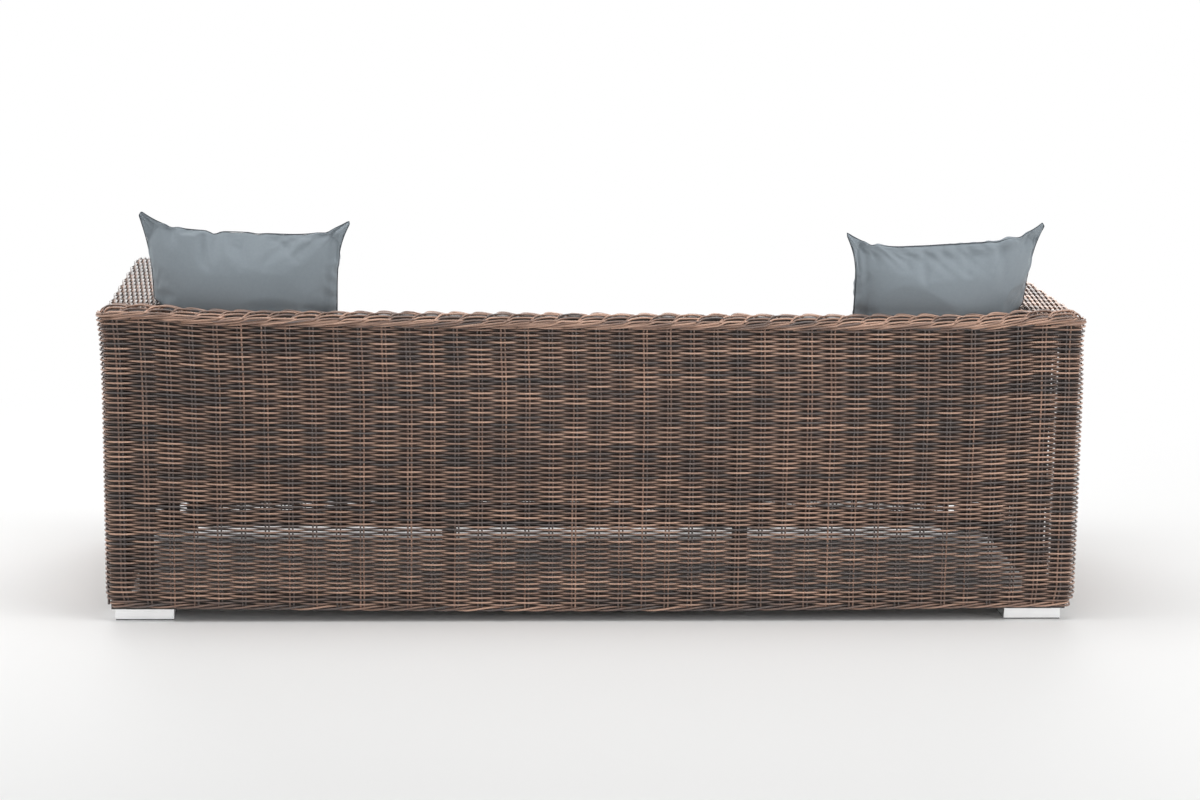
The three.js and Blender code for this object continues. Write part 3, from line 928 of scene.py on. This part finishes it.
def inflate(piece, look, pinned=()):  # cloth simulation, applied, each point's way capped
    rest = [vertex.co.copy() for vertex in piece.data.vertices]
    modifier = piece.modifiers.new("cloth", "CLOTH")
    settings = modifier.settings
    settings.quality = 5
    settings.mass = 0.25
    settings.tension_stiffness = settings.compression_stiffness = 25
    settings.shear_stiffness = 8
    settings.bending_stiffness = 0.4
    settings.use_pressure = True
    settings.uniform_pressure_force = look["pressure"]
    settings.effector_weights.gravity = 0
    settings.shrink_min = settings.shrink_max = -look["grow"]
    modifier.collision_settings.use_collision = False
    if pinned:
        group = piece.vertex_groups.new(name="sewn")
        group.add(list(pinned), 1.0, "REPLACE")
        settings.vertex_group_mass = "sewn"
        settings.pin_stiffness = 1.0
    modifier.point_cache.frame_start = 1
    modifier.point_cache.frame_end = 20
    for step in range(1, 21):
        scene.frame_set(step)
    moved = [vertex.co.copy() for vertex in evaluated(piece).data.vertices]
    piece.modifiers.clear()
    piece.vertex_groups.clear()
    scene.frame_set(1)
    for vertex, start, end in zip(piece.data.vertices, rest, moved):
        way = end - start
        if way.length > look["cap"]:
            way = way.normalized() * look["cap"]
        vertex.co = start + way


def finishCushion(piece, body, node, slot, cloth):
    piece.data.materials.append(cloth)
    piece.data.polygons.foreach_set("use_smooth", [True] * len(piece.data.polygons))
    smooth = piece.modifiers.new("smooth", "SUBSURF")
    smooth.levels = smooth.render_levels = 1
    mesh = bpy.data.meshes.new_from_object(evaluated(piece))
    piece.modifiers.clear()
    piece.data = mesh
    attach(piece, body)
    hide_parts(node)


def seamTube(name, body, slot, loops, thickness, finish):
    lines = [measured([*loop, loop[0]], 1.0) for loop in loops]
    values = dict(stakeValues, Thickness=thickness, Wander=0.0, Finish=finish, Sides=6)
    strandPiece(name, [], (lines, atOrigin, values), body=body, slot=slot)


cushion = {
    "cells": 34,
    "rings": 7,
    "height": 0.118,
    "crown": 0.014,
    "draw": 0.007,
    "bulge": 0.005,
    "margin": 0.004,
    "base": 0.002,  # from the solid's faces to the sheets
    "gap": 0.001,  # to a neighbour
    "pressure": 3.0,
    "grow": 0.02,
    "cap": 0.013,
    "welt": 0.0052,
    "weltRaise": 0.0028,  # of the lower welt
}


def makeSeatCushion(side):
    node = f"{side}_seat_cushion"
    low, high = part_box(node)
    middle, half = (low + high) / 2, (high - low) / 2
    halfX, halfY = (half[axis] - cushion["bulge"] - cushion["margin"] for axis in (0, 1))

    def spotFor(u, v, layer):
        bulge = cushion["bulge"] * math.sin(math.pi * layer)
        x = u * (halfX - cushion["draw"] * (1 - v * v)) + bulge * u**3
        y = v * (halfY - cushion["draw"] * (1 - u * u)) + bulge * v**3
        crown = cushion["crown"] * (1 - u * u) * (1 - v * v) if layer == 1 else 0
        z = cushion["base"] + layer * (cushion["height"] - 2 * cushion["base"])
        return middle.x + x, middle.y + y, low.z + z + crown

    points, faces, loops, _ = sheetPair(cushion["cells"], cushion["rings"], spotFor)
    piece = placed(f"{side}SeatCushion", newMesh(f"{side}SeatCushion", points, [], faces))
    inflate(piece, cushion)
    vertices = piece.data.vertices
    for axis in (0, 1):  # filled until it reaches its neighbours again
        widest = max(abs(vertex.co[axis] - middle[axis]) for vertex in vertices)
        wider = (half[axis] - cushion["gap"]) / widest
        for vertex in vertices:
            vertex.co[axis] = middle[axis] + (vertex.co[axis] - middle[axis]) * wider
    for vertex in vertices:  # it rests on the deck
        vertex.co.z = min(max(vertex.co.z, low.z + 0.0006), high.z + 0.006)
    rims = [[vertices[n].co.copy() for n in loop] for loop in loops]
    for spot in rims[0]:
        spot.z += cushion["weltRaise"]
    body, slot = f"{side}_cushion", "cushion_fabric"
    finishCushion(piece, body, node, slot, cushionCloth)
    seamTube(f"{side}CushionWelts", body, slot, rims, cushion["welt"], cushionCloth)


for side in ("left", "middle", "right"):
    makeSeatCushion(side)
print("seat cushions made")

# Folds start at the top seam: place along it, slant, length, depth in metres, width.
pillow = {
    "size": 0.456,
    "thickness": 0.150,
    "sideDraw": 0.029,
    "topDraw": 0.040,
    "baseDraw": 0.011,
    "drawPower": 5,
    "armPower": 2.4,  # on the side next to the arm
    "tip": 0.010,  # how much of a pointed corner is blunted
    "puff": 0.58,
    "cells": 80,
    "pressure": 3.2,
    "grow": 0.035,
    "cap": 0.014,
    "seam": 0.0022,
    "press": 0.001,
    "sink": 0.0048,
    "fuller": 0.010,  # next to the corners
    "roll": 0.007,  # how far the front stands out past the seam at a rolled edge
    "rollDip": 0.014,
    "uneven": 0.07,
    "ripple": 0.0025,  # along the seam
    "armFace": 0.935,  # the faces that it lies against, and the top of the seat cushion
    "backFace": 0.3554,
    "seatTop": 0.4253,
    "clear": 0.0006,
    "raised": 0.0105,
    "overArm": 2.5,  # how fast it may spread above the arm, and lean back above the back
    "overBack": 0.3,
    "left": {
        "sign": 1, "seed": 3, "fromArm": 0.182, "turn": 7.5, "lean": 9.5, "tilt": 1.2,
        "rolled": (0.8, 0.0),
        "puckers": [(0.70, 0.003), (0.29, 0.007), (-0.12, 0.002), (-0.76, 0.004)],
        "folds": [
            (0.38, 0.0, 0.30, 0.0050, 0.050), (0.29, -0.1, 0.18, 0.0040, 0.035),
            (-0.74, 0.9, 0.26, 0.0036, 0.040), (-0.50, 0.9, 0.24, 0.0026, 0.045),
            (0.72, -0.5, 0.16, 0.0024, 0.040), (-0.93, 0.5, 0.30, 0.0030, 0.045),
        ],
    },
    "right": {
        "sign": -1, "seed": 8, "fromArm": 0.185, "turn": 10, "lean": 14.5, "tilt": 2.3,
        "rolled": (1.0, 0.7),
        "puckers": [(0.74, 0.003), (-0.52, 0.003), (-0.75, 0.004)],
        "folds": [
            (0.72, -0.8, 0.22, 0.0026, 0.030), (0.60, -0.8, 0.20, 0.0030, 0.032),
            (0.44, -0.8, 0.16, 0.0020, 0.030), (0.26, -0.9, 0.30, 0.0034, 0.036),
            (0.10, -0.9, 0.28, 0.0032, 0.034), (-0.10, -0.9, 0.26, 0.0028, 0.034),
            (-0.22, -0.8, 0.20, 0.0022, 0.032), (-0.56, -0.1, 0.34, 0.0048, 0.045),
            (-0.80, -0.3, 0.18, 0.0026, 0.036),
        ],
    },
}


def foldDepth(folds, u, v):
    depth = 0.0
    for place, slant, length, deep, wide in folds:
        down = 1 - v
        if down > length * 1.6:
            continue
        aside = (u - place - slant * down) / math.hypot(1, slant)
        run = eased(down, 0.0, 0.06) * (1 - eased(down, length * 0.4, length * 1.5))
        depth += deep * run * (bell(aside, 0, wide) - 0.45 * bell(aside, 2 * wide, wide))
    return depth


def clearOfSofa(spot, sign):  # the pillow lies against the arm, the back and the seat cushion
    backTop = wallTop + max(0.0, highShift(Vector((spot.x, 0.4, 0))))
    rounding = weave["edge"] + inset  # of the arm's top edge
    below = min(rounding, max(0.0, wallTop - spot.z))
    armLimit = pillow["armFace"] - pillow["clear"]
    armLimit += rounding - math.sqrt(rounding**2 - (rounding - below) ** 2)
    armLimit += pillow["overArm"] * max(0.0, spot.z - wallTop)
    backLimit = pillow["backFace"] - pillow["clear"]
    backLimit += pillow["overBack"] * max(0.0, spot.z - backTop)
    spot.x = sign * min(sign * spot.x, armLimit)
    spot.y = min(spot.y, backLimit)
    spot.z = max(spot.z, pillow["seatTop"] + pillow["raised"])


def turnedAt(at, *turns):  # at a place, and turned about its own axes one after the other
    matrix = Matrix.Translation(at)
    for degrees, axis in turns:
        matrix = matrix @ Matrix.Rotation(math.radians(degrees), 4, axis)
    return matrix


def makePillow(side):
    stand = pillow[side]
    sign = stand["sign"]
    half = pillow["size"] / 2
    leant = math.radians(stand["lean"])
    centreZ = pillow["seatTop"] + (half - pillow["sink"]) * math.cos(leant)
    reach = pillow["thickness"] / 2 * math.cos(leant) + (wallTop - centreZ) * math.tan(leant)
    centreX = sign * (pillow["armFace"] - stand["fromArm"])
    centreY = pillow["backFace"] + pillow["press"] - reach
    turns = ((-sign * stand["turn"], "Z"), (90 - stand["lean"], "X"), (sign * stand["tilt"], "Z"))

    def spotFor(u, v, layer):
        draw = pillow["topDraw"] if v > 0 else pillow["baseDraw"]
        power = pillow["drawPower"]
        sidePower = pillow["armPower"] if u * sign > 0 else power
        x = u * (half - pillow["sideDraw"] * (1 - abs(v) ** sidePower))
        y = v * (half - draw * (1 - abs(u) ** power))
        for place, deep in stand["puckers"]:
            y -= deep * bell(u, place, 0.05) * eased(v, 0.7, 1.0)
        fuller = pillow["fuller"] * (abs(u * v) ** 7 - abs(u * v) ** 24)
        x += math.copysign(fuller, u)
        y += math.copysign(fuller, v)
        puff = ((1 - u * u) * (1 - v * v)) ** pillow["puff"] * 0.95
        return x, y, (layer - 0.5) * pillow["thickness"] * puff

    points, faces, loops, shares = sheetPair(pillow["cells"], 0, spotFor)
    piece = placed(f"{side}ThrowPillow", newMesh(f"{side}ThrowPillow", points, [], faces))
    vertices = piece.data.vertices
    rng = random.Random(stand["seed"])
    offset = Vector([rng.uniform(0, 50) for _ in range(3)])
    for vertex in vertices:  # the filling is a little uneven
        vertex.co.z *= 1 + pillow["uneven"] * noise(vertex.co * 9 + offset)
    inflate(piece, pillow, loops[0])
    fullest = max(abs(vertex.co.z) for vertex in vertices)
    flatter = min(1.0, pillow["thickness"] / 2 / fullest)
    for vertex, (u, v, face) in zip(vertices, shares):
        vertex.co.z *= flatter
        vertex.co.z -= face * foldDepth(stand["folds"], u, v)
        if face == 0:
            vertex.co.z += pillow["ripple"] * noise(Vector((u * 4, v * 4, 0)) + offset)
        rolls = ((0, -sign * u, stand["rolled"][0], -sign), (1, v, stand["rolled"][1], 1))
        for axis, edge, share, outward in rolls:
            if face > 0:
                roll = pillow["roll"] * share * outward * (1 - abs(u * v) ** 6)
                vertex.co[axis] += roll * eased(edge, 0.82, 0.96) * (1 - eased(edge, 0.975, 1.0))
            dip = pillow["rollDip"] * share * eased(edge, 0.85, 1.0)
            vertex.co.z -= dip * (1 - abs(u * v) ** 8)
        corner = Vector((math.copysign(1, u), math.copysign(1, v), 0)).normalized()
        beyond = vertex.co.dot(corner) - half * math.sqrt(2) + pillow["tip"]
        vertex.co -= corner * 0.8 * max(0.0, beyond)
    piece.data.transform(turnedAt((centreX, centreY, centreZ), *turns))
    for vertex in vertices:
        clearOfSofa(vertex.co, sign)
    rim = [vertices[n].co.copy() for n in loops[0]]
    body, slot = f"{side}_pillow", "pillow_fabric"
    finishCushion(piece, body, f"{side}_throw_pillow", slot, pillowCloth)
    seamTube(f"{side}PillowSeam", body, slot, [rim], pillow["seam"], seamThread)


makePillow("left")
makePillow("right")
print("pillows made")

studio = {
    "world": 0.285,
    "floor": (0.86, 0.86, 0.855),
    "lamps": {  # place, aim, size, power
        "overheadSoftbox": ((0.2, 0.6, 3.4), (0, 0.1, 0.3), (4.8, 2.0), 84.0),
        "frontSoftbox": ((0, -3.4, 1.9), (0, 0, 0.25), (5.5, 1.8), 92.0),
        "rearSoftbox": ((0.6, 4.4, 1.7), (0, 0, 0.1), (3.0, 1.6), 19.0),
        "leftSideSoftbox": ((4.2, 0.6, 1.3), (0, 0, 0.5), (0.9, 1.8), 44.0),
        "rightSideSoftbox": ((-4.2, 1.7, 1.3), (0, 0, 0.5), (1.6, 2.0), 68.0),
    },
}


def areaLamp(name, at, toward, size, power):
    lamp = bpy.data.lights.new(name, "AREA")
    lamp.shape = "RECTANGLE"
    lamp.size, lamp.size_y = size
    lamp.energy = power
    holder = placed(name, lamp)
    holder.location = at
    holder.rotation_euler = (Vector(toward) - Vector(at)).to_track_quat("-Z", "Y").to_euler()
    holder.visible_camera = False


for name, lamp in studio["lamps"].items():
    areaLamp(name, *lamp)
white = (1, 1, 1, 1)


def seenDirectly(tree):  # 1 for what the camera sees, also in metal and through glass
    path = addNode(tree, "LightPath").outputs
    seen = mathNode("ADD", path["Is Camera Ray"], path["Is Glossy Ray"])
    return mathNode("ADD", seen, path["Is Transmission Ray"], clamp=True)


def makeWorld():
    world = bpy.data.worlds.new("studioWorld")
    world.use_nodes = True
    scene.world = world
    tree = world.node_tree
    tree.nodes.clear()
    both = {0: seenDirectly(tree)}
    for slot, strength in ((1, studio["world"]), (2, 1.0)):
        light = addNode(tree, "Background", {"Color": white, "Strength": strength})
        both[slot] = light.outputs[0]
    mixed = addNode(tree, "MixShader", both).outputs[0]
    addNode(tree, "OutputWorld", {"Surface": mixed})


def makeFloor():  # it turns plain white away from the sofa, but stays a floor towards the camera
    corners = [(-9, -9, 0), (9, -9, 0), (9, 9, 0), (-9, 9, 0)]
    plane = placed("studioFloor", newMesh("studioFloor", corners, [], [(0, 1, 2, 3)]))
    finish, tree, shader = newFinish("studioFloor", 0.75, Base_Color=(*studio["floor"], 1))
    where = addNode(tree, "TexCoord").outputs["Object"]
    squeezed = vectorNode("MULTIPLY", where, (0.62, 1.0, 1.0))
    apart = vectorNode("SUBTRACT", squeezed, (0, 0.35, 0))
    away = vectorNode("LENGTH", apart, output="Value")
    behind = addNode(tree, "SeparateXYZ", {"Vector": where}).outputs["Y"]
    near = mathNode("MULTIPLY", smoothRange(away, 0.7, 2.6), smoothRange(behind, 1.6, 0.2))
    far = smoothRange(away, 2.4, 4.5)
    share = mathNode("MULTIPLY", mathNode("MAXIMUM", near, far), seenDirectly(tree))
    glow = addNode(tree, "Emission", {"Color": white, "Strength": 1.0})
    mixed = addNode(tree, "MixShader", {0: share, 1: shader.outputs[0], 2: glow.outputs[0]})
    tree.links.new(mixed.outputs[0], tree.nodes["Material Output"].inputs["Surface"])
    plane.data.materials.append(finish)


makeWorld()
makeFloor()

view = {"at": (0.4513, 6.3376, 1.6327), "yaw": -4.389, "pitch": 10.879, "roll": -1.07, "lens": 84.99}


def photoCamera():
    lens = bpy.data.cameras.new("photoCamera")
    lens.sensor_width = 36
    lens.lens = view["lens"]
    holder = placed("photoCamera", lens)
    turns = ((180 + view["yaw"], "Z"), (90 - view["pitch"], "X"), (-view["roll"], "Z"))
    holder.matrix_world = turnedAt(view["at"], *turns)
    scene.camera = holder


photoCamera()
scene.view_settings.view_transform = "Standard"
print("scene ready")
